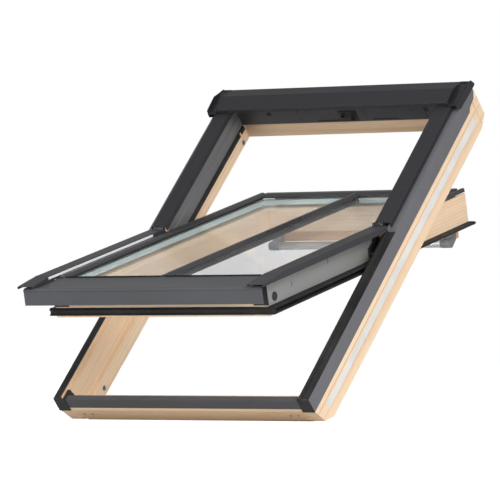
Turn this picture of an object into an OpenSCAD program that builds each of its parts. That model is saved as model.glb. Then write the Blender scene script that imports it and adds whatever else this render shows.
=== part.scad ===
// Centre-pivot roof window with a timber frame, aluminium covers and one glazing bar.
// Pieces are drawn in the plane of the roof: x across the window, y up the slope,
// z out of the roof. Zero is the pivot line on the frame's outer face. place() then
// pitches the plane as installed, with the origin on the bottom rail's room face.

/* [Window] */
// Width over the frame's side cladding
width = 780; // [660:1:1140]
// Frame length below the pivot line
lower_length = 620; // [560:1:760]
// Frame length above the pivot line
upper_length = 558; // [500:1:700]
// Depth of the frame from outer face to room face
frame_depth = 120; // [112:1:150]
// Roof pitch that the window is shown at
pitch = 45; // [15:1:85]
// Angle that the sash stands open at rest
open_angle = 31; // [0:1:60]

/* [Frame] */
// Thickness of a side member at the room face
side_thick = 45; // [40:1:60]
// Depth of the rebate on the inside of a side member
rebate = 12; // [8:1:16]
// Level of the rebate's step below the outer face
step_level = 78; // [74:1:84]
// Thickness of the bottom rail
bottom_rail_thick = 54; // [50:1:64]
// Thickness of the top rail
top_rail_thick = 45; // [40:1:54]
// Depth of the side cladding over the timber
clad_side = 44; // [36:1:50]
// Thickness of all cladding and cover sheet
sheet = 1.2; // [0.8:0.1:2]
// Height of the rib along the outer face of the cladding
rib_height = 7; // [4:1:9]
// Width of the strip groove in a side face
strip_width = 24; // [16:1:28]
// Depth of the strip groove in a side face
strip_depth = 3; // [2:0.5:6]

/* [Covers] */
// Height of the side covers above the frame's outer face
cover_top = 17; // [15:1:24]
// Width of a side cover
cover_width = 47; // [44:1:50]
// Distance of the covers' outer flange from the window's side
cover_inset = 18; // [17:1:20]
// Clear gap between the pivot line and the end of each side cover
cover_gap = 9; // [8:0.5:14]
// Height of the bottom cover's front face
front_height = 44; // [36:1:54]
// Length of the top hood along the slope
hood_length = 108; // [90:1:130]
// Rise of the top hood above the side covers
hood_rise = 15; // [8:1:20]

/* [Sash] */
// Clearance between the sash and the covers' inner lips
sash_side_gap = 2; // [1:0.5:4]
// Width of the sash stiles
stile_width = 48; // [42:1:60]
// Width of the sash bottom rail
sash_bottom_width = 50; // [44:1:64]
// Width of the sash top rail
sash_top_width = 54; // [48:1:66]
// Level of the sash's room face below the frame's outer face
sash_depth = 94; // [90:1:100]
// Clearance of the sash's lower end as it swings past the bottom rail
swing_gap = 7; // [4:0.5:12]
// Clearance of the sash's upper end from the top rail
top_gap = 16; // [14:0.5:24]
// Thickness of the outer pane
outer_glass = 4; // [3:0.5:6]
// Thickness of the inner laminated pane
inner_glass = 6; // [4:0.5:8]
// Space between the panes
glass_space = 14; // [10:1:18]
// Width of the glazing bar
bar_width = 24; // [16:1:36]

/* [Fittings] */
// Radius of the hinge pins
pin_r = 4; // [3:0.5:5]
// Running clearance around the pins and the sliding bolt
run_gap = 0.05; // [0.02:0.01:0.1]
// Turn of the sash from closed to the cleaning position
clean_angle = 154; // [150:1:156]
// Turn of the sash from closed to the locked airing position
airing_angle = 3; // [2:0.5:5]
// Radius of the sliding bolt
bolt_r = 4; // [3:0.5:5]
// Distance of the sliding bolt from the sash's upper end
bolt_inset = 12; // [12:1:40]
// Travel of the sliding bolt
bolt_travel = 14; // [10:1:16]
// Radius of the control bar
grip_r = 11; // [8:1:13]
// Width of the arms that carry the control bar
grip_arm = 30; // [20:1:40]
// Thickness of the ventilation flap
flap_thick = 14; // [10:1:16]
// Height of the ventilation flap
flap_height = 32; // [24:1:36]

/* [Hidden] */
$fn = 48;

// Frame sizes
half = width / 2;                      // cladding's outer face
timber_x = half - sheet;               // timber's outer face
room_x = half - side_thick;            // inner face at the room side
reb_x = room_x + rebate;               // inner face above the step
ledge = 8;                             // ledge below the outer face
rib_out = reb_x + 11;                  // outer side of the cladding's rib
rib_in = reb_x + 5;                    // inner side of the cladding's rib
low_end = -lower_length;
up_end = upper_length;
bottom_in = low_end + bottom_rail_thick;
top_in = up_end - top_rail_thick;
fit = 0.3;                             // clearance between bodies that pass each other
strip_level = 79;                      // middle of the strip groove
line_level = 61;                       // narrow groove above the strip
end_cut = 22;                          // slope of the lower end in the side members
room_cut = 38;                         // corner cut at the room side of the members
rail_room = frame_depth - 12;          // room face of the bottom rail
rail_top = 40;                         // level of the bottom rail's inner edge
band_level = 4;                        // level of the bottom profile's outer band
band_width = 16;                       // width of the bottom profile's outer band
hood_lip = up_end - 100;               // lower edge of the top hood
hood_tail = hood_lip + hood_length;    // upper edge of the top hood
crest = cover_top + hood_rise + 2;     // highest line of the top hood

// Sash sizes; the sash is drawn closed and turned by open_angle
pivot_z = cover_top + 1;
cover_out = half - cover_inset;
cover_in = cover_out - cover_width;
sash_x = cover_in - sash_side_gap;
sash_reach = sash_depth + pivot_z;
sash_low = -sqrt(pow(-bottom_in - swing_gap, 2) - pow(sash_reach, 2));
sash_up = top_in - top_gap;
stile_in = sash_x - stile_width;
glass_top = 2;                         // outer pane's face below the frame's outer face
glass_x = sash_x - 5;
glass_low = sash_low + 10;
glass_up = sash_up - 10;
outer_low = glass_top + outer_glass;
inner_top = outer_low + glass_space;
inner_low = inner_top + inner_glass;
bed = inner_low + 2;                   // glazing tape under the inner pane
lip_top = 5;                           // outer edge of the sash timber
spacer_w = 12;
spacer_edge = 12;                      // pane edge to spacer
front_y = low_end - 5;                 // inner side of the bottom cover's front face
cover_end = low_end - 15;              // lower end of the sash's side covers
bend_y = cover_end + 90;               // where the side covers start to slope down
end_drop = 9;                          // drop of the side covers at their lower end
gasket_out = room_x - 1.2;             // tips of the sash gasket
profile_t = 3;                         // side profile on the stiles' lower half
bead_in = sash_x - 22;                 // inner edge of the glazing beads
bead_top_z = 9;

// Fittings
arm_x = sash_x + 2.5;                  // inner face of the hinge arms
arm_t = 6;
bracket_x = reb_x - 4;                 // inner face of the hinge brackets' plate
boss_r = pin_r + 2.5;
bolt_place = sash_up - bolt_inset;
bolt_z = -(sash_depth - 9);
bolt_reach = norm([bolt_place, bolt_z - pivot_z]);
bolt_start = atan2(bolt_z - pivot_z, bolt_place);
bush_r = bolt_r + 4;
bush_bore = bolt_r + 0.6;
flap_up = sash_up + 1;                 // outer face of the ventilation flap
flap_top = -(sash_depth + 1.5);
flap_axis = [flap_up - 3, flap_top + 1.5 - 3];
grip_at = [flap_up - 44, -134];        // middle of the control bar
head_y = top_in + 5 - 2 * sheet;        // face of the head liner
latch_at = [sash_up + 5, -62];         // turning point of the latch jaw
keeper_r = 2.5;
keeper_at = 8;                         // keeper above the jaw's turning point when closed
claw_r = keeper_at + keeper_r + 0.5;   // inside of the jaw's claw
flap_half = stile_in + 12;
guide_low = 11;                        // bolt's axis to the lower side of its guide
guide_up = 6;                          // bolt's axis to the upper side of its guide
stem_w = 5;
arm_screws = [-32, -16, 16, 32];

function swing(angle) = [
    bolt_reach * cos(bolt_start - angle),
    pivot_z + bolt_reach * sin(bolt_start - angle)
];
bush_up = swing(airing_angle);
bush_low = swing(clean_angle);

timber = [0.93, 0.76, 0.56];
dark = [0.27, 0.27, 0.29];
black = [0.1, 0.1, 0.11];
grey = [0.53, 0.53, 0.52];
steel = [0.7, 0.71, 0.72];

// Extrudes an (x, z) outline along the slope
module run_y(y0, y1) translate([0, y1, 0]) rotate([90, 0, 0]) linear_extrude(y1 - y0) children();
// Extrudes a (y, z) outline across the window
module run_x(x0, x1) translate([x0, 0, 0]) rotate([90, 0, 90]) linear_extrude(x1 - x0) children();
// Cylinder across the window
module rod_x(x0, x1, y, z, r) translate([x0, y, z]) rotate([0, 90, 0]) cylinder(h = x1 - x0, r = r);
// Draws a right-hand piece, or its mirror image for the left
module handed(side) mirror([side > 0 ? 0 : 1, 0, 0]) children();
// Pitches the window and puts the origin on the bottom rail's room face
module place()
    rotate([pitch, 0, 0]) translate([0, -(low_end + bottom_rail_thick / 2 + 8), rail_room]) children();
// Turns what is drawn on the closed sash about the pivot line
module on_sash()
    place() translate([0, 0, pivot_z]) rotate([-open_angle, 0, 0]) translate([0, 0, -pivot_z])
        children();

// Outline of the side members seen from the side
module side_outline() polygon([
    [low_end + sheet, -sheet], [low_end + sheet, -clad_side],
    [low_end + end_cut, -frame_depth + 22], [low_end + end_cut + room_cut, -frame_depth],
    [up_end - room_cut, -frame_depth], [up_end, -frame_depth + 20], [up_end, -9],
    [up_end - 9, rib_height - sheet], [low_end + sheet, rib_height - sheet]
]);

module frame_side(side) color(timber) place() handed(side) difference() {
    intersection() {
        run_y(low_end, up_end) polygon([
            [room_x, -frame_depth], [timber_x, -frame_depth], [timber_x, -sheet],
            [rib_out - sheet, -sheet], [rib_out - sheet, rib_height - sheet],
            [rib_in, rib_height - sheet], [rib_in, -ledge],
            [reb_x, -ledge], [reb_x, -step_level], [room_x, -step_level]
        ]);
        run_x(room_x - 1, half) side_outline();
    }
    // grooves in the outer side face
    translate([timber_x - strip_depth, bottom_in, -strip_level - strip_width / 2])
        cube([strip_depth + 1, up_end - 50 - bottom_in, strip_width]);
    translate([timber_x - 4, low_end - 1, -line_level - 1]) cube([5, up_end - low_end + 2, 2]);
    // cross groove at the top corner
    translate([timber_x - 4, up_end - 30, -frame_depth - 1]) cube([5, 2, frame_depth]);
    // seat of the room-side gasket above the pivot
    translate([room_x - 1, 60, -step_level - 12]) cube([3.5, top_in - 60, 12.5]);
    rail_joints();
    hinge_screw_holes(bracket_x, timber_x - 4);
    if (side < 0) {
        for (at = [bush_up, bush_low]) rod_x(room_x - 1, room_x + 26, at[0], at[1], bush_r);
        rod_x(room_x - 1, room_x + bolt_travel, bolt_place, bolt_z, bush_bore);
    }
}

// Mortises for the rails' tenons in a side member
module rail_joints() {
    tenon(low_end + bottom_rail_thick / 2, -72, fit / 2);
    tenon(up_end - top_rail_thick / 2, -70, fit / 2);
}
module tenon(y, z, gap = 0)
    translate([room_x - 1 - gap, y - 12 - gap, z - 14 - gap])
        cube([20 + 2 * gap, 24 + 2 * gap, 28 + 2 * gap]);

module frame_bottom_rail() color(timber) place() difference() {
    union() {
        run_x(-reb_x, reb_x) intersection() {
            bottom_section();
            translate([low_end - 1, -step_level]) square([bottom_rail_thick + 2, step_level]);
        }
        run_x(-room_x, room_x) bottom_section();
        for (s = [-1, 1]) handed(s) tenon(low_end + bottom_rail_thick / 2, -72);
    }
    for (s = [-1, 1]) handed(s) screw_places() {
        cylinder(r = 2.2, h = 60, center = true);
        translate([0, 0, -3]) cylinder(r = 4, h = 20);
    }
}
module bottom_section() polygon([
    [low_end + sheet, -band_level - sheet], [low_end + band_width - sheet, -band_level - sheet],
    [low_end + band_width + 6, -rail_top], [bottom_in, -rail_top], [bottom_in, -rail_room],
    [low_end + 30, -rail_room], [low_end + 30, -rail_room + 11],
    [low_end + end_cut, -rail_room + 11], [low_end + sheet, -clad_side]
]);

// Places of the corner screws in the lower end of the bottom rail
module screw_places() for (at = [[room_x - 18, -66], [room_x - 42, -68]])
    translate([at[0], low_end + sheet + (-at[1] - clad_side) * 0.34, at[1]]) rotate([90, 0, 0])
        children();

module frame_top_rail() color(timber) place() {
    run_x(-reb_x, reb_x) polygon([
        [top_in + 5, -step_level], [top_in + 5, -ledge], [up_end, -ledge],
        [up_end, -step_level]
    ]);
    run_x(-room_x, room_x) polygon([
        [top_in, -frame_depth], [top_in, -step_level - 8], [top_in + 5, -step_level - 4],
        [top_in + 5, -step_level], [up_end, -step_level], [up_end, -frame_depth + 20],
        [up_end - 20, -frame_depth + 2], [up_end - 20, -frame_depth]
    ]);
    for (s = [-1, 1]) handed(s) tenon(up_end - top_rail_thick / 2, -70);
}

module side_cladding(side) color(dark) place() handed(side) intersection() {
    run_y(low_end, up_end - 4) polygon([
        [half, -clad_side], [half, 0], [rib_out, 0], [rib_out, rib_height],
        [rib_in, rib_height], [rib_in, rib_height - sheet],
        [rib_out - sheet, rib_height - sheet], [rib_out - sheet, -sheet],
        [timber_x, -sheet], [timber_x, -clad_side]
    ]);
    run_x(0, half + 1) polygon([
        [low_end, rib_height], [low_end, -clad_side + 10], [low_end + 1, -clad_side],
        [up_end - 58, -clad_side], [up_end - 50, -clad_side + 8], [up_end - 18, -clad_side + 12],
        [up_end - 4, -16], [up_end - 4, -7], [up_end - 12, rib_height]
    ]);
}

// Cross-section shared by the side covers on the frame and on the sash
module cover_section() polygon([
    [cover_in, cover_top - 14], [cover_in, cover_top - 1.5], [cover_in + 1.5, cover_top],
    [cover_out - 3, cover_top], [cover_out, cover_top - 3], [cover_out, 1.5],
    [cover_out - sheet, 1.5], [cover_out - sheet, cover_top - 3.4],
    [cover_out - 3.4, cover_top - sheet], [cover_in + 2, cover_top - sheet],
    [cover_in + sheet, cover_top - 2], [cover_in + sheet, cover_top - 14]
]);

module upper_cover(side) color(dark) place() handed(side) {
    run_y(cover_gap, up_end - 20) cover_section();
    // fixing ledges that stand on the cladding's rib
    for (y = [cover_gap + 40, up_end / 2, up_end - 120]) translate([rib_in - 1, y, rib_height])
        cube([rib_out - rib_in + 2, 16, cover_top - sheet - rib_height]);
}

// Level of the hood's underside on its upper slope
function hood_under(y) = crest - sheet
    - (y - hood_lip - 51.8) * (crest - sheet - cover_top + 2.2) / (up_end - 54.8 - hood_lip);
module top_hood() color(dark) place() {
    run_x(-cover_out + 10, cover_out - 10) polygon([
        [hood_lip, cover_top + 1], [hood_lip, crest - 5], [hood_lip + 3, crest - 3],
        [hood_lip + 52, crest], [up_end - 2, cover_top - 1], [hood_tail, -2],
        [hood_tail - sheet, -2], [up_end - 3, cover_top - 2.2], [hood_lip + 51.8, crest - sheet],
        [hood_lip + 3.4, crest - 3 - sheet], [hood_lip + sheet, crest - 5.6],
        [hood_lip + sheet, cover_top + 1]
    ]);
    // fixing brackets on the top rail
    for (x = [-room_x + 60, -30, room_x - 90])
        run_x(x, x + 30) polygon([
            [up_end - 30, -ledge], [up_end - 30, hood_under(up_end - 30) + 0.5],
            [up_end - 27, hood_under(up_end - 27) + 0.5], [up_end - 27, -ledge + 3],
            [up_end - 6, -ledge + 3], [up_end - 6, -ledge]
        ]);
}

module hood_cap(side) color(black) place() handed(side) {
    difference() {
        run_x(cover_out - 10, half + 1) polygon([
            [hood_lip - 3, cover_top + 0.6], [hood_lip - 3, crest - 4.6],
            [hood_lip + 3, crest - 2.4], [hood_lip + 52, crest + 0.6],
            [up_end - 1.4, cover_top - 0.6], [hood_tail + 1, -2], [hood_tail + 1, -5],
            [up_end - 1.4, -5], [up_end - 11.4, rib_height + 3], [up_end - 17, cover_top + 0.6]
        ]);
        // recess in the end
        run_x(cover_out - 5, half + 0.2) polygon([
            [hood_lip - 10, cover_top + 3.6], [up_end - 15, cover_top + 3.6],
            [up_end - 9, rib_height + 4], [up_end - 9, crest + 9], [hood_lip - 10, crest + 9]
        ]);
    }
    // outer plate beside the cladding
    run_x(half + 0.2, half + 2) polygon([
        [hood_lip + 10, -3], [hood_lip - 4, 8], [hood_lip - 4, cover_top + 4],
        [up_end - 13, cover_top + 4], [up_end + 3, cover_top - 2], [hood_tail + 4, -3],
        [hood_tail, -7], [up_end - 40, -5]
    ]);
}

module bottom_profile() color(dark) place() run_x(-rib_out + 14, rib_out - 14) polygon([
    [low_end, -clad_side + 10], [low_end, -band_level], [low_end + band_width, -band_level],
    [low_end + band_width + 7, -rail_top + 6], [low_end + band_width + 7, -rail_top],
    [low_end + band_width + 7 - sheet, -rail_top + 2],
    [low_end + band_width - sheet, -band_level - sheet],
    [low_end + sheet, -band_level - sheet], [low_end + sheet, -clad_side + 10]
]);

module corner_piece(side) color(black) place() handed(side) {
    difference() {
        run_x(rib_out - 14, rib_out - sheet - fit) polygon([
            [low_end, -clad_side + 10], [low_end, -1.5], [low_end + band_width + 18, -1.5],
            [low_end + band_width + 26, -rail_top + fit], [low_end + band_width + 7, -rail_top + fit],
            [low_end + band_width - sheet, -band_level - sheet + fit],
            [low_end + sheet - fit, -band_level - sheet + fit], [low_end + sheet - fit, -clad_side + 10]
        ]);
        side_keepout();
    }
    // plate over the end of the side member
    end_plate(rib_out - 14, half, -1.6);
    end_plate(rib_in, rib_out, rib_height - sheet);
    end_plate(rib_out, half, 0);
}
module end_plate(x0, x1, top) run_x(x0, x1) polygon([
    [low_end - sheet, -clad_side], [low_end - sheet, top], [low_end, top],
    [low_end, -clad_side + 10], [low_end + 1, -clad_side]
]);
// Space that the side member takes, with a little clearance
module side_keepout() run_y(low_end, low_end + 90) polygon([
    [reb_x - fit, -frame_depth], [half, -frame_depth], [half, -sheet + 0.1],
    [rib_out - sheet - fit, -sheet + 0.1], [rib_out - sheet - fit, rib_height],
    [rib_in - fit, rib_height], [rib_in - fit, -ledge + fit], [reb_x - fit, -ledge + fit]
]);

module head_liner() color(dark) place() difference() {
    run_x(-reb_x + 7.5, reb_x - 7.5) polygon([
        [head_y, -step_level], [top_in + 5, -step_level],
        [top_in + 5, -ledge], [top_in + 12, -ledge], [top_in + 12, -ledge + sheet],
        [head_y, -ledge + sheet]
    ]);
    // blind recesses, slots and seams in its face
    for (x = [-room_x * 0.72, room_x * 0.72]) translate([x, head_y + 1.6, -42]) rotate([90, 0, 0])
        cylinder(r = 8, h = 5);
    for (x = [-room_x * 0.46, -room_x * 0.38]) translate([x, head_y - 1, -40]) cube([4, 2.6, 14]);
    for (x = [-room_x * 0.3, room_x * 0.2]) translate([x, head_y - 1, -74]) cube([84, 2.6, 5]);
    for (x = [-room_x * 0.46, -room_x * 0.16, room_x * 0.16, room_x * 0.58, room_x * 0.7])
        translate([x, head_y - 1, -step_level - 1]) cube([1.2, 2, step_level - ledge + 4]);
}

module side_liner(side) color(grey) place() handed(side) {
    run_y(48, top_in + 3) polygon([
        [reb_x - 6, -step_level], [reb_x - 6, -step_level + 30],
        [reb_x - 3, -step_level + 33], [reb_x - 3, -ledge - 2], [reb_x, -ledge - 2],
        [reb_x, -ledge], [reb_x - 4.2, -ledge], [reb_x - 4.2, -step_level + 33.6],
        [reb_x - 7.2, -step_level + 30.6], [reb_x - 7.2, -step_level]
    ]);
}

module frame_gasket(side) color(black) place() handed(side) difference() {
    run_y(60, top_in - 1) polygon([
        [room_x + 2.5, -step_level - 12], [room_x + 2.5, -step_level],
        [reb_x - 7.5, -step_level], [reb_x - 7.5, -step_level + 1.2],
        [room_x + 0.4, -step_level + 1.2],
        [room_x - 0.6, -step_level - 2.4], [room_x - 0.6, -step_level - 6],
        [room_x, -step_level - 8], [room_x - 0.6, -step_level - 10],
        [room_x, -step_level - 12]
    ]);
    // notch that the sliding bolt passes when the sash is closed
    if (side < 0) translate([room_x - 2, bolt_place - bolt_r - 1, -step_level - 13])
        cube([5, 2 * (bolt_r + 1), 12]);
}

module side_strip(side) color([0.87, 0.86, 0.85]) place() handed(side)
    translate([timber_x - strip_depth, bottom_in + 1, -strip_level - strip_width / 2 + 0.5])
        cube([strip_depth - 0.8, up_end - 52 - bottom_in, strip_width - 1]);

module striker() color(steel) place() {
    translate([-28, head_y - 3, latch_at[1] - 12]) cube([56, 3, 36]);
    for (s = [-1, 1]) handed(s) difference() {
        run_x(14, 18) polygon([
            [head_y - 2, latch_at[1] - 8], [head_y - 2, latch_at[1] + 16],
            [latch_at[0] + 1, latch_at[1] + 14], [latch_at[0] - 3.4, latch_at[1] + 10],
            [latch_at[0] - 3.4, latch_at[1] + 4]
        ]);
        rod_x(10, 22, latch_at[0], latch_at[1] + keeper_at, keeper_r);
    }
    rod_x(-18, 18, latch_at[0], latch_at[1] + keeper_at, keeper_r);
}

// Screw places of a hinge bracket
module hinge_screw_holes(x0, x1) for (at = [[-22, -30], [22, -30], [-22, -58], [22, -58]])
    rod_x(x0, x1, at[0], at[1], 2.1);

module hinge_bracket(side) color(steel) place() handed(side) difference() {
    union() {
        run_x(bracket_x, reb_x) polygon([
            [-30, -66], [30, -66], [34, -60], [34, -24], [20, -14], [5, -10],
            [5, pivot_z], [-5, pivot_z], [-5, -10], [-20, -14], [-34, -24], [-34, -60]
        ]);
        rod_x(bracket_x - 4, reb_x, 0, pivot_z, boss_r);
        rod_x(arm_x, bracket_x, 0, pivot_z, pin_r);
    }
    hinge_screw_holes(bracket_x - 1, reb_x + 1);
}

module bolt_bushes() color(steel) place() handed(-1) for (at = [bush_up, bush_low]) difference() {
    rod_x(room_x, room_x + 25, at[0], at[1], bush_r);
    rod_x(room_x - 2, room_x + 22, at[0], at[1], bush_bore);
}

module frame_screws() color(steel) place() for (s = [-1, 1]) handed(s) {
    screw_places() {
        translate([0, 0, -26]) cylinder(r = 2.2, h = 24);
        translate([0, 0, -3]) cylinder(r = 4, h = 2.5);
    }
    for (at = [[-22, -30], [22, -30], [-22, -58], [22, -58]]) {
        rod_x(bracket_x - 1.6, bracket_x, at[0], at[1], 3.8);
        rod_x(bracket_x - 0.1, timber_x - 6, at[0], at[1], 2.1);
    }
}

// ---- sash ----
module stile_section() polygon([
    [stile_in, -sash_depth + 4], [stile_in + 4, -sash_depth], [sash_x, -sash_depth],
    [sash_x, -lip_top], [glass_x + 1, -lip_top], [glass_x + 1, -bed], [stile_in + 8, -bed],
    [stile_in, -bed - 10]
]);

module sash_stile(side) color(timber) on_sash() handed(side) difference() {
    run_y(sash_low, sash_up) stile_section();
    gasket_seats();
    sash_mortises();
    if (side < 0) {
        translate([sash_x - 33 - fit, bolt_place - guide_low - fit, -sash_depth - 1])
            cube([27 + fit, guide_low + guide_up + 2 * fit, 16]);
        rod_x(sash_x - 8, sash_x + 1, bolt_place, bolt_z, bolt_r + 1);
    }
    for (y = arm_screws) rod_x(sash_x - 18, sash_x + 1, y, -52, 1.9);
}
module sash_mortises() {
    sash_tenon(sash_low + sash_bottom_width / 2, fit / 2);
    sash_tenon(sash_up - sash_top_width / 2, fit / 2);
}
module sash_tenon(y, gap = 0)
    translate([stile_in - 1 - gap, y - 14 - gap, -70 - gap])
        cube([24 + 2 * gap, 28 + 2 * gap, 24 + 2 * gap]);
// Rebates round the sash for its gaskets
module gasket_seats() {
    translate([sash_x - 6, sash_low - 1, -89]) cube([8, -sash_low - 4, 20]);
    translate([sash_x - 6, 5, -sash_depth + 2]) cube([8, sash_up + 10, 9]);
    translate([stile_in - 1, sash_low - 1, -89]) cube([stile_width + 2, 7, 20]);
    translate([stile_in - 1, sash_up - 6, -sash_depth + 2]) cube([stile_width + 2, 8, 9]);
}

module sash_bottom_rail() color(timber) on_sash() {
    w = sash_bottom_width;
    run_x(-stile_in, stile_in) difference() {
        polygon([
            [sash_low, -sash_depth], [sash_low + w - 4, -sash_depth],
            [sash_low + w, -sash_depth + 4], [sash_low + w, -bed - 10],
            [sash_low + w - 8, -bed], [glass_low - 1, -bed], [glass_low - 1, -lip_top],
            [sash_low, -lip_top]
        ]);
        translate([sash_low - 1, -89]) square([7, 20]);
    }
    for (s = [-1, 1]) handed(s) sash_tenon(sash_low + w / 2);
}

module sash_top_rail() color(timber) on_sash() difference() {
    w = sash_top_width;
    union() {
        run_x(-stile_in, stile_in) difference() {
            polygon([
                [sash_up - w, -sash_depth + 4], [sash_up - w + 4, -sash_depth],
                [sash_up, -sash_depth], [sash_up, -lip_top], [glass_up + 1, -lip_top],
                [glass_up + 1, -bed], [sash_up - w + 8, -bed], [sash_up - w, -bed - 10]
            ]);
            translate([sash_up - 6, -sash_depth + 2]) square([8, 9]);
        }
        for (s = [-1, 1]) handed(s) sash_tenon(sash_up - w / 2);
    }
    // pocket for the lock case and slot for the air filter
    translate([-30 - fit, sash_up - 25, latch_at[1] - 16 - fit])
        cube([60 + 2 * fit, 30, 32 + 2 * fit]);
    for (s = [-1, 1]) handed(s)
        translate([60, sash_up - 20, -56]) cube([stile_in - 90, 24, 12]);
}

module pane(z0, z1) translate([-glass_x, glass_low, -z1])
    cube([2 * glass_x, glass_up - glass_low, z1 - z0]);
module outer_pane() color([0.8, 0.88, 0.9, 0.35]) on_sash() pane(glass_top, outer_low);
module inner_pane() color([0.8, 0.88, 0.9, 0.35]) on_sash() pane(inner_top, inner_low);
module pane_spacer() color([0.66, 0.72, 0.72]) on_sash() {
    e = spacer_edge;
    difference() {
        translate([-glass_x + e, glass_low + e, -inner_top])
            cube([2 * (glass_x - e), glass_up - glass_low - 2 * e, glass_space]);
        translate([-glass_x + e + spacer_w, glass_low + e + spacer_w, -inner_top - 1])
            cube([2 * (glass_x - e - spacer_w), glass_up - glass_low - 2 * (e + spacer_w), glass_space + 2]);
    }
}

module glazing_bar() color(dark) on_sash() {
    b = bar_width / 2;
    run_y(glass_low + 18, sash_up - 32) polygon([
        [-b, -glass_top], [-b, -glass_top + 2], [-b * 0.45, 7], [-b * 0.3, 8.6], [b * 0.3, 8.6],
        [b * 0.45, 7], [b, -glass_top + 2], [b, -glass_top]
    ]);
}

// Bar between the panes, in line with the glazing bar
module bar_core() color(dark) on_sash()
    translate([-bar_width * 0.4, glass_low + spacer_edge + spacer_w, -inner_top + 2])
        cube([bar_width * 0.8, glass_up - glass_low - 2 * (spacer_edge + spacer_w), glass_space - 4]);

module bottom_cover() color([0.39, 0.39, 0.41]) on_sash() {
    f = front_y;
    // top and front face between the ribs of the side cladding
    run_x(-rib_in + 2 * fit, rib_in - 2 * fit) polygon([
        [glass_low + 8, 1.8], [f + 4, 0.4], [f + 2, 0], [f - sheet, -3], [f - sheet - 1.6, -6],
        [f - sheet, -8], [f - sheet, -front_height], [f, -front_height], [f, -7],
        [f, -3.4], [f + 2.6, -sheet], [glass_low + 8, 0.4]
    ]);
    // riser against the glass between the side covers
    run_x(-cover_in + fit, cover_in - fit) polygon([
        [glass_low + 18, -glass_top], [glass_low + 18, 3.4], [glass_low + 10, 4.2],
        [glass_low + 7, 1.8], [glass_low + 7, 0.4], [glass_low + 8, 0.4], [glass_low + 10.6, 3],
        [glass_low + 16.8, 2.2], [glass_low + 16.8, -glass_top]
    ]);
    // feet on the bottom rail's edge
    for (x = [-stile_in + 40, -15, stile_in - 70]) translate([x, sash_low, -lip_top])
        cube([30, glass_low - sash_low - 1, lip_top + 0.6]);
}

module sash_cover(side) color(dark) on_sash() handed(side) {
    difference() {
        run_y(cover_end, -cover_gap) cover_section();
        // the lower end slopes down to the bottom cover
        run_x(cover_in - 1, cover_out + 1) polygon([
            [bend_y, cover_top], [cover_end - 1, cover_top - end_drop],
            [cover_end - 1, cover_top + 2], [bend_y, cover_top + 2]
        ]);
    }
    sloped_top();
    // clips that stand on the side profile
    for (y = [-60, sash_low / 2, sash_low + 50]) translate([cover_in, y - 10, -lip_top + 3])
        cube([sheet + 2, 20, cover_top - 15 + lip_top]);
}
module sloped_top() run_x(cover_in, cover_out - 0.4) polygon([
    [bend_y + 1, cover_top - 0.1], [cover_end, cover_top - end_drop],
    [cover_end, cover_top - end_drop - sheet], [bend_y + 1, cover_top - sheet]
]);

module side_profile(side) color(grey) on_sash() handed(side) difference() {
    union() {
        run_y(sash_low, -cover_gap) polygon([
            [sash_x, -68], [sash_x + profile_t, -68], [sash_x + profile_t, -lip_top],
            [cover_in + sheet + 2, -lip_top], [cover_in + sheet + 2, -lip_top + 3],
            [glass_x + 2, -lip_top + 3], [glass_x + 2, -lip_top], [sash_x, -lip_top]
        ]);
        rod_x(sash_x, sash_x + profile_t + 1.4, sash_low + 30, -49, 11);
    }
    for (at = [[-76, -33], [-79, -46]]) rod_x(sash_x - 1, sash_x + 9, at[0], at[1], 1.6);
    for (y = [-32, -16]) rod_x(sash_x - 1, sash_x + 9, y, -52, 2);
    // crescent dimples
    for (at = [[sash_low + 114, -38], [sash_low + 298, -22]]) difference() {
        rod_x(sash_x + profile_t - 2, sash_x + 9, at[0], at[1], 7);
        rod_x(sash_x + profile_t - 3, sash_x + 10, at[0] - 2.4, at[1], 6.4);
    }
    // room for the hinge arm
    run_x(arm_x - fit, sash_x + 12) polygon([
        [-46, -64], [1, -64], [1, 20], [-12, 20], [-46, -24]
    ]);
}

module bead(side) color(dark) on_sash() handed(side) run_y(sash_low + 28.2, sash_up) polygon([
    [bead_in, -glass_top], [bead_in + 2, 3], [bead_in + 12, bead_top_z - 1],
    [sash_x - 3, bead_top_z], [sash_x - 0.2, bead_top_z - 3], [sash_x - 0.2, -lip_top + 3.2],
    [glass_x + 2, -lip_top + 3.2], [glass_x + 2, -glass_top]
]);
module bead_top() color(dark) on_sash() run_x(-bead_in, bead_in) polygon([
    [sash_up - 32, -glass_top], [sash_up - 30, 3], [sash_up - 18, bead_top_z - 1],
    [sash_up - 3, bead_top_z], [sash_up, bead_top_z - 3], [sash_up, -lip_top],
    [glass_up + 2, -lip_top], [glass_up + 2, -glass_top]
]);

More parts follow.
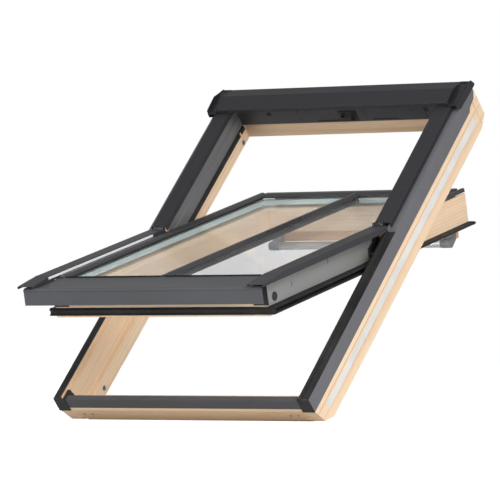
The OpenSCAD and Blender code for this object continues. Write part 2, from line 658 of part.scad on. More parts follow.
// Two-lipped section of the sash gasket; a is the seat's face, b the lips' tips
module gasket_section(a, b, z0, z1) polygon([
    [a, z0], [a, z1], [a + 6, z1], [b - 3, z1 - 1], [b, z1 - 5], [b - 2, z1 - 6], [a + 8, z1 - 5],
    [a + 8, z0 + 6], [b - 3, z0 + 5], [b, z0 + 1.4], [b - 2, z0], [a + 6, z0]
]);
module sash_gasket_lower() color(black) on_sash() {
    a = sash_x - 6;
    tip = sash_low - 6;
    for (s = [-1, 1]) handed(s) run_y(tip + 3, -8) gasket_section(a, gasket_out, -89, -69);
    run_x(-gasket_out + 3, gasket_out - 3) mirror([1, 0])
        gasket_section(-sash_low - 6, -tip, -89, -69);
}
module sash_gasket_upper() color(black) on_sash() difference() {
    a = sash_x - 6;
    tip = sash_up + 9;
    z0 = -sash_depth + 2;
    union() {
        for (s = [-1, 1]) handed(s) run_y(8, sash_up - 6) polygon([
            [a, z0], [a, z0 + 9], [a + 8, z0 + 9], [gasket_out - 2, z0 + 6], [gasket_out, z0 + 3],
            [gasket_out - 2, z0 + 1], [a + 8, z0]
        ]);
        run_x(-gasket_out + 3, gasket_out - 3) polygon([
            [sash_up - 6, z0], [sash_up - 6, z0 + 9], [sash_up + 1, z0 + 9], [tip - 1, z0 + 6],
            [tip, z0 + 3], [tip - 2, z0 + 1], [sash_up + 1, z0]
        ]);
    }
    // gap that the sliding bolt passes
    handed(-1) translate([sash_x - 7, bolt_place - bolt_r - 1, -sash_depth])
        cube([40, 2 * (bolt_r + 1), 20]);
}

module hinge_arm(side) color(steel) on_sash() handed(side) difference() {
    union() {
        run_x(arm_x, arm_x + arm_t) polygon([
            [-42, -62], [42, -62], [42, -42], [18, -30], [7, -6], [4.5, 2],
            [4.5, pivot_z], [-4.5, pivot_z], [-4.5, 2], [-8, -6], [-18, -24], [-42, -36]
        ]);
        run_x(sash_x, arm_x + 0.1) polygon([[2, -62], [42, -62], [42, -42], [18, -34], [2, -34]]);
        rod_x(arm_x, arm_x + arm_t, 0, pivot_z, boss_r);
    }
    rod_x(arm_x - 1, arm_x + arm_t + 1, 0, pivot_z, pin_r + run_gap);
    for (y = arm_screws) rod_x(sash_x - 1, arm_x + arm_t + 1, y, -52, 2);
}

module sash_screws() color(steel) on_sash() for (s = [-1, 1], y = arm_screws) handed(s) {
    rod_x(sash_x - 16, arm_x + arm_t + 0.1, y, -52, 1.9);
    rod_x(arm_x + arm_t, arm_x + arm_t + 1.6, y, -52, 3.6);
}

module lock_case() color(steel) on_sash() difference() {
    union() {
        translate([-30, sash_up - 25, latch_at[1] - 16]) cube([60, 26, 32]);
        for (s = [-1, 1]) handed(s) run_x(7, 11) polygon([
            [sash_up, latch_at[1] - 9], [sash_up, latch_at[1] + 5],
            [latch_at[0] + 2, latch_at[1] + 4], [latch_at[0] + 4, latch_at[1]],
            [latch_at[0] + 2, latch_at[1] - 4]
        ]);
    }
    rod_x(-12, 12, latch_at[0], latch_at[1], 1.5 + run_gap);
    // slot that the jaw turns in
    translate([-6 - fit, latch_at[0] - claw_r - 4, latch_at[1] - 9])
        cube([12 + 2 * fit, claw_r + 8, claw_r + 20]);
}

module bolt_guide() color(steel) on_sash() handed(-1) difference() {
    translate([sash_x - 33, bolt_place - guide_low, -sash_depth])
        cube([27, guide_low + guide_up, 15]);
    rod_x(sash_x - 34, sash_x - 5, bolt_place, bolt_z, bolt_r + run_gap);
    translate([sash_x - 31 - fit, bolt_place - 2 - fit, -sash_depth - 1])
        cube([stem_w + bolt_travel + 2 * fit, 4 + 2 * fit, 10]);
}

module air_filter() color([0.8, 0.8, 0.78]) on_sash() for (s = [-1, 1]) handed(s)
    translate([61, sash_up - 20, -56]) cube([stile_in - 92, 19, 11]);

// Axle leaves of the ventilation flap under the sash's top rail
module flap_hinge() color(steel) on_sash() for (s = [-1, 1]) handed(s) {
    x0 = stile_in - 60;
    translate([x0, sash_up - 14, -sash_depth - 0.4]) cube([24, 10, 0.4]);
    rod_x(x0, x0 + 24, flap_axis[0], flap_axis[1], 1.6);
    translate([x0 + 8, flap_axis[0] - 2, flap_axis[1]]) cube([8, 4, -sash_depth - flap_axis[1]]);
}

module vent_flap() color(timber) on_sash() difference() {
    translate([-flap_half, flap_up - flap_thick, flap_top - flap_height])
        cube([2 * flap_half, flap_thick, flap_height]);
    for (s = [-1, 1]) handed(s) {
        rod_x(stile_in - 60.5, stile_in - 35.5, flap_axis[0], flap_axis[1], 1.6 + run_gap);
        translate([stile_in - 53, flap_axis[0] - 6, flap_axis[1] - 3.4]) cube([10, 12, 12]);
        translate([stile_in - 60.5, flap_axis[0] - 1.2, flap_axis[1]]) cube([25, 2.4, 9]);
    }
}

module bar_arm(side) color([0.5, 0.5, 0.52]) on_sash() handed(side) {
    run_x(flap_half - grip_arm, flap_half) polygon([
        [flap_up - flap_thick, flap_top - 2], [flap_up - flap_thick, flap_top - flap_height],
        [grip_at[0] + 4, grip_at[1] - grip_r], [grip_at[0] - 6, grip_at[1] + 4],
        [grip_at[0] + 10, grip_at[1] + 9], [flap_up - flap_thick - 10, flap_top - 2]
    ]);
    rod_x(flap_half - grip_arm, flap_half, grip_at[0], grip_at[1], grip_r + 1);
}

module control_bar() color([0.78, 0.79, 0.8]) on_sash() {
    len = flap_half - grip_arm;
    difference() {
        rod_x(-len, len, grip_at[0], grip_at[1], grip_r);
        run_x(-len - 1, len + 1) translate([grip_at[0] + 2, grip_at[1] - 2.5]) square([grip_r, 5]);
    }
}

// Claw that turns over the keeper; its inside is concentric with its axle
module latch_jaw() color(steel) on_sash() {
    translate([0, latch_at[0], latch_at[1]]) run_x(-6, 6) {
        circle(r = 4);
        difference() {
            intersection() {
                circle(r = claw_r + 3);
                polygon([[0, 0], 30 * [cos(115), sin(115)], 30 * [cos(160), sin(160)],
                    30 * [cos(200), sin(200)]]);
            }
            difference() {
                circle(r = claw_r);
                polygon([[0, 0], 30 * [cos(172), sin(172)], 30 * [cos(200), sin(200)]]);
            }
        }
    }
    rod_x(-11, 11, latch_at[0], latch_at[1], 1.5);
}

// Seals on the ribs and the outer face of the lower side cladding
module face_seals() color(black) place() for (s = [-1, 1]) handed(s)
    run_y(low_end + 1, -cover_gap) polygon([
        [half - 0.8, 0], [half - 0.8, 0.9], [rib_out + 0.9, 0.9], [rib_out + 0.9, rib_height],
        [rib_out, rib_height + 0.9], [rib_in, rib_height + 0.9], [rib_in, rib_height],
        [rib_out, rib_height], [rib_out, 0]
    ]);

// Caps on the lower ends of the sash stiles
module sash_end_caps() color(black) on_sash() {
    back = sash_low - 0.02;            // inner face, against the timber's end
    for (s = [-1, 1]) handed(s) run_x(stile_in + 6, sash_x + profile_t) polygon([
        [back - 1.6, -66], [back, -66], [back, -lip_top], [back - 1.6, -lip_top]
    ]);
}

module sliding_bolt() color(steel) on_sash() handed(-1) {
    rod_x(sash_x - 32, sash_x + 18, bolt_place, bolt_z, bolt_r);
    translate([sash_x - 31, bolt_place - 2, -sash_depth - 5]) cube([stem_w, 4, 12]);
    translate([sash_x - 32, bolt_place - 5, -sash_depth - 8]) cube([10, 10, 4]);
}

frame_side(-1);  // frame_side_left
frame_side(1);  // frame_side_right
frame_top_rail();
frame_bottom_rail();
side_cladding(-1);  // side_cladding_left
side_cladding(1);  // side_cladding_right
upper_cover(-1);  // upper_cover_left
upper_cover(1);  // upper_cover_right
top_hood();
hood_cap(-1);  // hood_cap_left
hood_cap(1);  // hood_cap_right
bottom_profile();
corner_piece(-1);  // corner_piece_left
corner_piece(1);  // corner_piece_right
head_liner();
side_liner(-1);  // side_liner_left
side_liner(1);  // side_liner_right
frame_gasket(-1);  // frame_gasket_left
frame_gasket(1);  // frame_gasket_right
side_strip(-1);  // side_strip_left
side_strip(1);  // side_strip_right
striker();
hinge_bracket(-1);  // hinge_bracket_left
hinge_bracket(1);  // hinge_bracket_right
bolt_bushes();
frame_screws();
sash_stile(-1);  // sash_stile_left
sash_stile(1);  // sash_stile_right
sash_top_rail();
sash_bottom_rail();
outer_pane();
inner_pane();
pane_spacer();
glazing_bar();
bar_core();
bottom_cover();
sash_cover(-1);  // sash_cover_left
sash_cover(1);  // sash_cover_right
side_profile(-1);  // side_profile_left
side_profile(1);  // side_profile_right
bead(-1);  // bead_left
bead(1);  // bead_right
bead_top();
sash_gasket_lower();
sash_gasket_upper();
hinge_arm(-1);  // hinge_arm_left
hinge_arm(1);  // hinge_arm_right
lock_case();
bolt_guide();
air_filter();
flap_hinge();
vent_flap();
control_bar();
bar_arm(-1);  // bar_arm_left
bar_arm(1);  // bar_arm_right
latch_jaw();
sliding_bolt();
sash_screws();
face_seals();
sash_end_caps();
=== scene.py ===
import math

import bmesh
import bpy
from mathutils import Matrix, Vector


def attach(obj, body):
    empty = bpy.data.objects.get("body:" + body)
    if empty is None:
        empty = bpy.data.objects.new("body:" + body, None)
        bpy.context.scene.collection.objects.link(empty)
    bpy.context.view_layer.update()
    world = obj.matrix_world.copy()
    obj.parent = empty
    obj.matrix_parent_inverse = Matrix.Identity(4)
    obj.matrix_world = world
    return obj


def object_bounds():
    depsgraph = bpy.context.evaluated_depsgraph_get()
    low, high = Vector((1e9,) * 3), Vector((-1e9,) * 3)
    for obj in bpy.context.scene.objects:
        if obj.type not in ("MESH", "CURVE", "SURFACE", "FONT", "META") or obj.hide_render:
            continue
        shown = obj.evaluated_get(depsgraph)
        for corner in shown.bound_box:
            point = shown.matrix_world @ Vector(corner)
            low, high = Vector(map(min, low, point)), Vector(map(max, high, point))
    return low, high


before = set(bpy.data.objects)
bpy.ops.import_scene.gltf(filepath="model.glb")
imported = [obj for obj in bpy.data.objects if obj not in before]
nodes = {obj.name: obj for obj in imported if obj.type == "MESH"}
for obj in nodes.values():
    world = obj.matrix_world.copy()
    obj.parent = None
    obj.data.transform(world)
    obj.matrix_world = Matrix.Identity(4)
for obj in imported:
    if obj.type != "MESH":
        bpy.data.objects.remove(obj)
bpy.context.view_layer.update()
scene = bpy.context.scene
scene.view_settings.view_transform = "Standard"

PITCH = math.radians(45)          # slope of the fixed frame
SASH = math.radians(14)           # slope of the open sash


def srgb(r, g, b):
    """Linear colour from 0-255 screen values."""
    out = []
    for c in (r, g, b):
        c = c / 255
        out.append(c / 12.92 if c <= 0.04045 else ((c + 0.055) / 1.055) ** 2.4)
    return (*out, 1.0)


# ---- materials -------------------------------------------------------------
class Mat:
    """A node material with a Principled shader."""

    def __init__(self, name, rough=0.5, metallic=0.0, specular=0.5, coat=0.0):
        self.mat = bpy.data.materials.new(name)
        self.mat.use_nodes = True
        self.tree = self.mat.node_tree
        self.bsdf = self.tree.nodes["Principled BSDF"]
        self.bsdf.inputs["Roughness"].default_value = rough
        self.bsdf.inputs["Metallic"].default_value = metallic
        self.bsdf.inputs["Specular IOR Level"].default_value = specular
        self.bsdf.inputs["Coat Weight"].default_value = coat

    def add(self, kind, **values):
        node = self.tree.nodes.new(kind)
        for key, value in values.items():
            setattr(node, key, value)
        return node

    def link(self, a, b):
        self.tree.links.new(a, b)

    def coords(self, tilt=0.0, turn=0.0, scale=(1, 1, 1), offset=(0, 0, 0)):
        """Object coordinates turned into a piece's own plane, then scaled."""
        tc = self.add("ShaderNodeTexCoord")
        one = self.add("ShaderNodeMapping")
        one.inputs["Rotation"].default_value = (-tilt, 0, 0)
        two = self.add("ShaderNodeMapping")
        two.inputs["Rotation"].default_value = (0, 0, turn)
        three = self.add("ShaderNodeMapping")
        three.inputs["Scale"].default_value = scale
        three.inputs["Location"].default_value = offset
        self.link(tc.outputs["Object"], one.inputs["Vector"])
        self.link(one.outputs["Vector"], two.inputs["Vector"])
        self.link(two.outputs["Vector"], three.inputs["Vector"])
        return three.outputs["Vector"]

    def noise(self, vector, scale, detail=3.0, rough=0.55):
        node = self.add("ShaderNodeTexNoise")
        node.inputs["Scale"].default_value = scale
        node.inputs["Detail"].default_value = detail
        node.inputs["Roughness"].default_value = rough
        self.link(vector, node.inputs["Vector"])
        return node.outputs["Fac"]

    def ramp(self, value, stops):
        node = self.add("ShaderNodeValToRGB")
        el = node.color_ramp.elements
        el[0].position, el[0].color = stops[0]
        el[1].position, el[1].color = stops[-1]
        for pos, col in stops[1:-1]:
            e = el.new(pos)
            e.color = col
        self.link(value, node.inputs["Fac"])
        return node.outputs["Color"]

    def spread(self, value, lo, hi, from_lo=0.3, from_hi=0.7):
        node = self.add("ShaderNodeMapRange")
        node.inputs["From Min"].default_value = from_lo
        node.inputs["From Max"].default_value = from_hi
        node.inputs["To Min"].default_value = lo
        node.inputs["To Max"].default_value = hi
        self.link(value, node.inputs["Value"])
        return node.outputs["Result"]

    def mix(self, fac, a, b, blend="MIX"):
        node = self.add("ShaderNodeMix", data_type="RGBA", blend_type=blend)
        if hasattr(fac, "links"):
            self.link(fac, node.inputs[0])
        else:
            node.inputs[0].default_value = fac
        for value, slot in ((a, 6), (b, 7)):
            if hasattr(value, "links"):
                self.link(value, node.inputs[slot])
            else:
                node.inputs[slot].default_value = value
        return node.outputs[2]

    def bump(self, height, strength, distance):
        node = self.add("ShaderNodeBump")
        node.inputs["Strength"].default_value = strength
        node.inputs["Distance"].default_value = distance
        self.link(height, node.inputs["Height"])
        self.link(node.outputs["Normal"], self.bsdf.inputs["Normal"])

    def color(self, socket):
        self.link(socket, self.bsdf.inputs["Base Color"])

    def rough(self, socket):
        self.link(socket, self.bsdf.inputs["Roughness"])


def pine(name, tilt, along_x, light, dark, seed):
    """Planed pine: growth rings round an axis beside the board, fine fibres and a soft varnish."""
    m = Mat(name, rough=0.42, specular=0.4, coat=0.12)
    m.bsdf.inputs["Coat Roughness"].default_value = 0.3
    turn = math.pi / 2 if along_x else 0.0
    base = m.coords(tilt, turn, (1, 0.045, 1), (0.11 + 0.013 * seed, 0.37 * seed, 0.085 - 0.009 * seed))
    wave = m.add("ShaderNodeTexWave", wave_type="RINGS", rings_direction="Y", wave_profile="SAW")
    wave.inputs["Scale"].default_value = 62
    wave.inputs["Distortion"].default_value = 5.5
    wave.inputs["Detail"].default_value = 2.5
    wave.inputs["Detail Scale"].default_value = 0.35
    m.link(base, wave.inputs["Vector"])
    rings = m.ramp(wave.outputs["Fac"], [
        (0.0, light), (0.55, light), (0.86, dark), (0.94, dark), (1.0, light)])
    fibre = m.noise(m.coords(tilt, turn, (900, 14, 900), (seed, 0, 0)), 1.0, 3.0, 0.6)
    streak = m.noise(m.coords(tilt, turn, (26, 1.1, 26), (0, seed * 3, 0)), 1.0, 3.0, 0.5)
    pale = tuple(min(1.0, c * 1.1) for c in light[:3]) + (1.0,)
    warm = (light[0] * 0.93, light[1] * 0.85, light[2] * 0.74, 1.0)
    tint = m.mix(m.spread(streak, 0.0, 1.0, 0.35, 0.65), pale, warm)
    body = m.mix(0.34, tint, rings)
    fine = m.ramp(fibre, [(0.3, (0.88, 0.86, 0.83, 1)), (0.62, (1, 1, 1, 1))])
    m.color(m.mix(0.7, body, fine, "MULTIPLY"))
    m.rough(m.spread(fibre, 0.5, 0.36))
    m.bump(fibre, 0.22, 0.0004)
    return m.mat


def paint(name, col, rough=0.36, tilt=0.0, var=0.07, metallic=0.0, peel=0.1, specular=0.5):
    """Coated sheet: slight orange peel, soft cloudiness and uneven gloss."""
    m = Mat(name, rough=rough, metallic=metallic, specular=specular)
    cloud = m.noise(m.coords(tilt, 0, (3.0, 1.4, 3.0)), 1.0, 4.0)
    a = tuple(c * (1 - var) for c in col[:3]) + (1.0,)
    b = tuple(min(1.0, c * (1 + var)) for c in col[:3]) + (1.0,)
    speck = m.noise(m.coords(), 420, 2.0)
    tone = m.mix(m.spread(cloud, 0.0, 1.0), a, b)
    dots = m.ramp(speck, [(0.3, (0.86, 0.86, 0.86, 1)), (0.7, (1.1, 1.1, 1.1, 1))])
    m.color(m.mix(0.35, tone, dots, "MULTIPLY"))
    m.rough(m.spread(cloud, rough - 0.05, rough + 0.07))
    m.bump(m.noise(m.coords(), 900, 2.0), peel, 0.0003)
    return m.mat


def rubber(name, col):
    m = Mat(name, rough=0.62, specular=0.35)
    grain = m.noise(m.coords(), 700, 3.0)
    dust = m.noise(m.coords(), 9, 4.0)
    dark = tuple(c * 0.75 for c in col[:3]) + (1.0,)
    lite = tuple(c * 1.5 + 0.004 for c in col[:3]) + (1.0,)
    m.color(m.mix(m.spread(dust, 0.0, 1.0, 0.35, 0.7), dark, lite))
    m.rough(m.spread(grain, 0.55, 0.72))
    m.bump(grain, 0.25, 0.0003)
    return m.mat


def plastic(name, col, rough=0.5):
    m = Mat(name, rough=rough, specular=0.45)
    grain = m.noise(m.coords(), 1500, 2.0)
    cloud = m.noise(m.coords(), 12, 3.0)
    a = tuple(c * 0.93 for c in col[:3]) + (1.0,)
    b = tuple(min(1.0, c * 1.07) for c in col[:3]) + (1.0,)
    m.color(m.mix(m.spread(cloud, 0.0, 1.0), a, b))
    m.rough(m.spread(grain, rough - 0.06, rough + 0.06))
    m.bump(grain, 0.2, 0.0002)
    return m.mat


def metal(name, col, rough=0.3, stretch=(12, 900, 900), tilt=0.0):
    """Brushed or drawn metal with fine streaks along one direction."""
    m = Mat(name, rough=rough, metallic=1.0)
    streak = m.noise(m.coords(tilt, 0, stretch), 1.0, 3.0)
    cloud = m.noise(m.coords(), 18, 3.0)
    a = tuple(c * 0.86 for c in col[:3]) + (1.0,)
    m.color(m.mix(m.spread(streak, 0.0, 1.0), a, col))
    m.rough(m.spread(cloud, rough - 0.05, rough + 0.09))
    m.bump(streak, 0.08, 0.0002)
    return m.mat


def glass(name, tint, seed):
    m = Mat(name, rough=0.0, specular=0.5)
    m.bsdf.inputs["Transmission Weight"].default_value = 1.0
    m.bsdf.inputs["IOR"].default_value = 1.45
    m.bsdf.inputs["Alpha"].default_value = 0.15
    film = m.noise(m.coords(SASH, 0, (2.2, 1.2, 2.2), (seed, 0, 0)), 1.0, 4.0)
    a = tuple(c * 0.97 for c in tint[:3]) + (1.0,)
    m.color(m.mix(m.spread(film, 0.0, 1.0), a, tint))
    m.rough(m.spread(film, 0.0, 0.02))
    return m.mat


PINE_LIGHT = srgb(246, 220, 190)
PINE_DARK = srgb(222, 180, 138)
FLAP_LIGHT = srgb(238, 196, 148)
FLAP_DARK = srgb(210, 154, 102)

materials = {
    "side_strip_left": plastic("strip_white", srgb(224, 222, 218), 0.55),
    "air_filter": plastic("filter_foam", srgb(200, 199, 194), 0.8),
    "pane_spacer": plastic("spacer", srgb(178, 198, 201), 0.42),
    "control_bar": metal("bar_silver", srgb(222, 224, 227), 0.3),
    "head_liner": paint("liner_dark", srgb(66, 66, 69), 0.42, PITCH, specular=0.35),
    "bottom_cover": paint("bottom_cover", srgb(84, 85, 88), 0.42, SASH, specular=0.2),
    "bottom_profile": paint("bottom_profile", srgb(78, 79, 83), 0.4, PITCH),
}


def give(mat, *names):
    for name in names:
        materials[name] = mat


give(materials["side_strip_left"], "side_strip_right")
for i, name in enumerate(("frame_side_left", "frame_side_right")):
    give(pine("pine_" + name, PITCH, False, PINE_LIGHT, PINE_DARK, i + 1), name)
# the frame's top rail gets darker pine colours than the other pine: painted shade under the hood
give(pine("pine_frame_top_rail", PITCH, True, srgb(214, 188, 158), srgb(188, 150, 112), 3), "frame_top_rail")
give(pine("pine_frame_bottom_rail", PITCH, True, PINE_LIGHT, PINE_DARK, 4), "frame_bottom_rail")
for i, name in enumerate(("sash_stile_left", "sash_stile_right")):
    give(pine("pine_" + name, SASH, False, PINE_LIGHT, PINE_DARK, i + 5), name)
for i, name in enumerate(("sash_top_rail", "sash_bottom_rail")):
    give(pine("pine_" + name, SASH, True, PINE_LIGHT, PINE_DARK, i + 7), name)
give(pine("pine_vent_flap", SASH, True, FLAP_LIGHT, FLAP_DARK, 9), "vent_flap")
give(paint("cover_frame", srgb(47, 47, 51), 0.42, PITCH, specular=0.25),
     "upper_cover_left", "upper_cover_right", "top_hood")
give(paint("cover_sash", srgb(56, 56, 60), 0.38, SASH, specular=0.3), "sash_cover_left", "sash_cover_right")
# the side cladding is the covers' dark grey paint on the real window; its lighter grey here is painted light
# from the lamp on the right
give(paint("cladding", srgb(104, 104, 109), 0.42, PITCH), "side_cladding_left", "side_cladding_right")
give(paint("glazing_dark", srgb(58, 59, 63), 0.3, SASH),
     "glazing_bar", "bar_core", "bead_left", "bead_right", "bead_top")
give(paint("liner_grey", srgb(112, 112, 114), 0.34, PITCH, 0.12), "side_liner_left", "side_liner_right")
give(paint("profile_grey", srgb(140, 141, 139), 0.4, SASH), "side_profile_left", "side_profile_right")
give(plastic("trim_black", srgb(38, 38, 41), 0.48), "hood_cap_left", "hood_cap_right",
     "corner_piece_left", "corner_piece_right", "sash_end_caps", "striker")
give(rubber("gasket_black", srgb(36, 36, 36)), "frame_gasket_left", "frame_gasket_right",
     "sash_gasket_lower", "sash_gasket_upper", "face_seals")
give(metal("steel_zinc", srgb(186, 188, 192), 0.34, (14, 600, 600)), "bolt_bushes", "frame_screws",
     "lock_case", "bolt_guide", "flap_hinge", "latch_jaw", "sliding_bolt", "sash_screws")
give(metal("steel_dark", srgb(96, 97, 101), 0.45, (14, 600, 600)), "hinge_arm_left", "hinge_arm_right",
     "hinge_bracket_left", "hinge_bracket_right")
give(glass("glass_outer", srgb(206, 222, 232), 1), "outer_pane")
give(glass("glass_inner", srgb(206, 222, 232), 2), "inner_pane")
give(plastic("arm_grey", srgb(122, 124, 129), 0.42), "bar_arm_left", "bar_arm_right")

# ---- carried-over CAD nodes --------------------------------------------------
PINE_EDGE = 0.0009                # bevel widths, m
OTHER_EDGE = 0.0004
for name, obj in nodes.items():
    obj.data.materials.clear()
    obj.data.materials.append(materials[name])
    if name in ("outer_pane", "inner_pane"):
        obj.visible_shadow = False
        continue
    weld = obj.modifiers.new("weld", "WELD")
    weld.merge_threshold = 0.00001
    bevel = obj.modifiers.new("edges", "BEVEL")
    bevel.width = PINE_EDGE if "pine" in materials[name].name else OTHER_EDGE
    bevel.segments = 2
    bevel.limit_method = "ANGLE"
    bevel.angle_limit = math.radians(40)
    bevel.use_clamp_overlap = True
    bevel.harden_normals = True


# ---- small pieces that only Blender models -------------------------------------
PIVOT = Vector((0.0, 0.32456, 0.50275))
PIVOT_Z = 18                      # pivot line above the frame's outer face, mm
OPEN = math.radians(31)           # how far the sash is open at rest
FRAME_Y, FRAME_Z = 585, 108       # the drawing's origin along and across the slope, mm
PROFILE_X = 326                   # outer face of the sash's side profiles, mm
COVER_X = 325                     # inner lip of the side covers, mm


def sash_point(x, y, z):
    """A point of the closed sash's drawing (mm, z out of the roof) in the row frame, sash open."""
    yy = y * math.cos(OPEN) + (z - PIVOT_Z) * math.sin(OPEN)
    zz = -y * math.sin(OPEN) + (z - PIVOT_Z) * math.cos(OPEN)
    c = math.sqrt(0.5)
    return PIVOT + Vector((x, (yy - zz) * c, (yy + zz) * c)) / 1000


def frame_point(x, y, z):
    """A point of the frame's drawing (mm, z out of the roof) in the row frame."""
    c = math.sqrt(0.5)
    yy, zz = y + FRAME_Y, z + FRAME_Z
    return Vector((x, (yy - zz) * c, (yy + zz) * c)) / 1000


def solid(name, rings, mat, body):
    """A mesh lofted through rings of points, all with the same count."""
    n = len(rings[0])
    verts = [v for ring in rings for v in ring]
    faces = []
    for i in range(len(rings) - 1):
        for j in range(n):
            k = (j + 1) % n
            faces.append((i * n + j, i * n + k, (i + 1) * n + k, (i + 1) * n + j))
    faces.append(tuple(range(n - 1, -1, -1)))
    faces.append(tuple((len(rings) - 1) * n + j for j in range(n)))
    mesh = bpy.data.meshes.new(name)
    mesh.from_pydata([tuple(v) for v in verts], [], faces)
    mesh.validate()
    obj = bpy.data.objects.new(name, mesh)
    scene.collection.objects.link(obj)
    bm = bmesh.new()
    bm.from_mesh(mesh)
    bmesh.ops.recalc_face_normals(bm, faces=bm.faces)
    bm.to_mesh(mesh)
    bm.free()
    mesh.materials.append(mat)
    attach(obj, body)
    return obj


def bar_along(name, outline, y0, y1, mat):
    """A profile (x, z) of the sash drawn along the slope from y0 to y1."""
    return solid(name, [[sash_point(x, y, z) for x, z in outline] for y in (y0, y1)], mat, "sash")


def bar_across(name, outline, x0, x1, mat, body, point=sash_point):
    """A profile (y, z) drawn across the window from x0 to x1."""
    return solid(name, [[point(x, y, z) for y, z in outline] for x in (x0, x1)], mat, body)


def crescent(y, z, r=6.9, cut=6.5, shift=2.4, n=14):
    """Outline of a crescent: a disc less a disc that lies a little further down the slope."""
    x_meet = (r * r - cut * cut + shift * shift) / (-2 * shift)
    wide = math.acos(x_meet / r)
    near = math.acos((x_meet + shift) / cut)
    outer = [(y + r * math.cos(a), z + r * math.sin(a)) for a in
             (-wide + 2 * wide * i / n for i in range(n + 1))]
    inner = [(y - shift + cut * math.cos(a), z + cut * math.sin(a)) for a in
             (near - 2 * near * i / n for i in range(1, n))]
    return outer + inner


def disc_x(name, x0, steps, y, z, mat, body, n=32):
    """A turned piece whose axis runs across the sash: steps are (offset, radius)."""
    rings = []
    for off, r in steps:
        rings.append([sash_point(x0 + off, y + r * math.cos(2 * math.pi * i / n),
                                 z + r * math.sin(2 * math.pi * i / n)) for i in range(n)])
    return solid(name, rings, mat, body)


bright = plastic("lip_bright", srgb(238, 239, 240), 0.35)
# black rubber for the seals, also used as painted shade in the head liner's recesses, slots and seams
seal_and_shade = rubber("black_seal_and_shade", srgb(22, 22, 23))
# dark plastic that paints shade: the crescents of the dimples and the ring round each screw plug
painted_shade_dark = plastic("dark_painted_shade", srgb(44, 45, 47), 0.45)
for side, s in (("left", -1), ("right", 1)):
    # pale edging along the inner lip of the side covers, next to the glass
    x = COVER_X
    bar_along("cover_edging_" + side,
              [(s * (x - 1.5), 9.0), (s * (x - 0.1), 9.0), (s * (x - 0.1), 15.2), (s * (x - 1.5), 15.2),
               (s * (x - 2.0), 14.2), (s * (x - 2.0), 10.0)],
              -560, -60, bright)
    # black seal along the bead, on the glass
    bar_along("bead_seal_" + side,
              [(s * 296.5, -1.9), (s * 301.6, -1.9), (s * 301.6, 0.2), (s * 300.2, 0.5), (s * 297.2, -1.0)],
              -575, 520, seal_and_shade)
    # screw plug on the side profile; its dark plastic is painted shade for the shaded ring round it
    disc_x("side_plug_" + side, s * PROFILE_X,
           [(s * 0.2, 11.4), (s * 1.9, 11.4), (s * 2.2, 10.8), (s * 1.7, 9.2), (s * 2.6, 8.6), (s * 2.8, 4.0),
            (s * 2.3, 3.2), (s * 2.3, 0.6)], -517.7, -49, painted_shade_dark, "sash")
    # painted shade: a dark crescent where the shaded side of each dimple falls
    for i, (y, z) in enumerate(((-433.7, -38), (-249.7, -22))):
        bar_across("dimple_%d_%s" % (i + 1, side), crescent(y, z),
                   s * (PROFILE_X - 1.8), s * (PROFILE_X - 0.1), painted_shade_dark, "sash")

# black lip between the bottom cover and the glass
bar_across("pane_seal", [(-519.5, -1.9), (-517.6, -1.9), (-517.6, 6.8), (-518.2, 7.6), (-519.5, 7.2)],
           -299, 299, seal_and_shade, "sash")

# black blocks and discs as painted shade in the recesses, slots and seams of the head liner's face
HEAD = 515.6                      # face of the head liner, mm
ROOM = 345                        # inner face of the side members, mm


def liner_fill(name, x0, x1, z0, z1, deep):
    """A black block in a groove of the head liner, a little below its face, as painted shade in the groove.
    """
    y0, y1 = HEAD + 0.3, HEAD + deep
    bar_across(name, [(y0, z0), (y1, z0), (y1, z1), (y0, z1)], x0, x1, seal_and_shade, "frame", frame_point)


for i, x in enumerate((-0.3 * ROOM, 0.2 * ROOM)):
    liner_fill("liner_slot_%d" % (i + 1), x + 0.2, x + 83.8, -73.8, -69.2, 1.5)
for i, x in enumerate((-0.46 * ROOM, -0.38 * ROOM)):
    liner_fill("liner_notch_%d" % (i + 1), x + 0.2, x + 3.8, -39.8, -26.2, 1.5)
for i, share in enumerate((-0.46, -0.16, 0.16, 0.58, 0.7)):
    liner_fill("liner_seam_%d" % (i + 1), share * ROOM + 0.1, share * ROOM + 1.1, -77, -8, 0.9)
RECESS_R, RECESS_Z = 7.8, -42     # round recesses
# black discs as painted shade in the round recesses
for side, s in (("left", -1), ("right", 1)):
    rings = []
    for y in (HEAD + 0.6, HEAD + 1.5):
        turns = [2 * math.pi * i / 32 for i in range(32)]
        rings.append([frame_point(s * 0.72 * ROOM + RECESS_R * math.cos(a), y,
                                  RECESS_Z + RECESS_R * math.sin(a)) for a in turns])
    solid("liner_recess_" + side, rings, seal_and_shade, "frame")

# ---- stage, light and camera ---------------------------------------------------
lo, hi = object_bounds()
bpy.ops.mesh.primitive_circle_add(vertices=96, radius=70, fill_type="NGON",
                                  location=(0, 0.6, lo[2] - 0.0005))
floor = bpy.context.object
floor.name = "floor"
fm = Mat("floor_pale", rough=0.9, specular=0.1)
soft = fm.noise(fm.coords(), 1.5, 3.0)
fm.color(fm.mix(fm.spread(soft, 0.0, 1.0), srgb(222, 222, 222), srgb(226, 226, 226)))
glow = fm.add("ShaderNodeEmission")
glow.inputs["Strength"].default_value = 0.78
seen = fm.add("ShaderNodeLightPath")
none = fm.add("ShaderNodeEmission")
none.inputs["Strength"].default_value = 0.0
choose = fm.add("ShaderNodeMixShader")
total = fm.add("ShaderNodeAddShader")
fm.link(seen.outputs["Is Camera Ray"], choose.inputs[0])
fm.link(none.outputs[0], choose.inputs[1])
fm.link(glow.outputs[0], choose.inputs[2])
fm.link(fm.bsdf.outputs[0], total.inputs[0])
fm.link(choose.outputs[0], total.inputs[1])
fm.link(total.outputs[0], fm.tree.nodes["Material Output"].inputs["Surface"])
floor.data.materials.append(fm.mat)

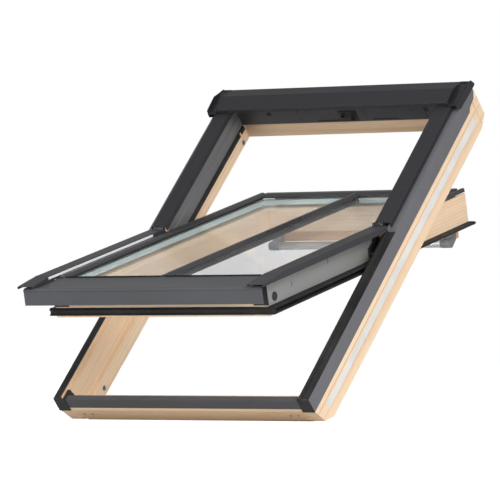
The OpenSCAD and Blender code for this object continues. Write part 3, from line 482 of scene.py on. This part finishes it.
world = bpy.data.worlds.new("studio")
scene.world = world
world.use_nodes = True
wt = world.node_tree
paper = wt.nodes["Background"]               # what the camera sees behind the object
paper.inputs["Color"].default_value = (1, 1, 1, 1)
sky = wt.nodes.new("ShaderNodeBackground")    # what lights the object
coord = wt.nodes.new("ShaderNodeTexCoord")
split = wt.nodes.new("ShaderNodeSeparateXYZ")
shade = wt.nodes.new("ShaderNodeValToRGB")
shade.color_ramp.elements[0].position = 0.0
shade.color_ramp.elements[0].color = (0.1, 0.1, 0.105, 1)
shade.color_ramp.elements[1].position = 1.0
shade.color_ramp.elements[1].color = (0.42, 0.42, 0.42, 1)
mid = shade.color_ramp.elements.new(0.5)
mid.color = (0.36, 0.36, 0.365, 1)
half = wt.nodes.new("ShaderNodeMapRange")
half.inputs["From Min"].default_value = -0.6
half.inputs["From Max"].default_value = 1.0
kind = wt.nodes.new("ShaderNodeLightPath")
pick = wt.nodes.new("ShaderNodeMixShader")
wt.links.new(coord.outputs["Generated"], split.inputs[0])
wt.links.new(split.outputs["Z"], half.inputs["Value"])
wt.links.new(half.outputs["Result"], shade.inputs["Fac"])
wt.links.new(shade.outputs["Color"], sky.inputs["Color"])
wt.links.new(kind.outputs["Is Camera Ray"], pick.inputs[0])
wt.links.new(sky.outputs[0], pick.inputs[1])
wt.links.new(paper.outputs[0], pick.inputs[2])
wt.links.new(pick.outputs[0], wt.nodes["World Output"].inputs["Surface"])


def area(name, at, aim, size, power):
    light = bpy.data.lights.new(name, "AREA")
    light.shape = "RECTANGLE"
    light.size, light.size_y = size
    light.energy = power
    obj = bpy.data.objects.new(name, light)
    scene.collection.objects.link(obj)
    obj.location = at
    obj.rotation_euler = (Vector(aim) - Vector(at)).to_track_quat("-Z", "Y").to_euler()
    return obj


centre = (Vector(lo) + Vector(hi)) / 2
area("key", (4.4, -2.6, 2.2), centre, (2.4, 2.4), 182)
area("top", (0.6, -2.4, 4.4), centre, (2.4, 2.4), 28)
area("low", (3.2, -1.0, 0.3), (-0.33, -0.02, 0.22), (0.9, 0.5), 10)
area("fill", (-1.6, -5.2, 0.7), centre, (3.0, 1.6), 110)
rear = area("rear", (-3.4, 4.8, 1.9), centre, (2.6, 2.0), 80)
rear.visible_glossy = False                  # no mirror image of it in the panes

AZ, EL, FAR = math.radians(32.26), math.radians(-1.33), 12.05
right = Vector((math.cos(AZ), math.sin(AZ), 0))
back = Vector((math.sin(AZ) * math.cos(EL), -math.cos(AZ) * math.cos(EL), math.sin(EL)))
up = back.cross(right)
target = PIVOT - 0.0449 * right - 0.0611 * up
cam_data = bpy.data.cameras.new("camera")
cam_data.lens = 328.9
cam_data.sensor_width = 36
cam_data.clip_end = 200
cam = bpy.data.objects.new("camera", cam_data)
scene.collection.objects.link(cam)
cam.matrix_world = Matrix.Translation(target + FAR * back) @ Matrix((right, up, back)).transposed().to_4x4()
scene.camera = cam
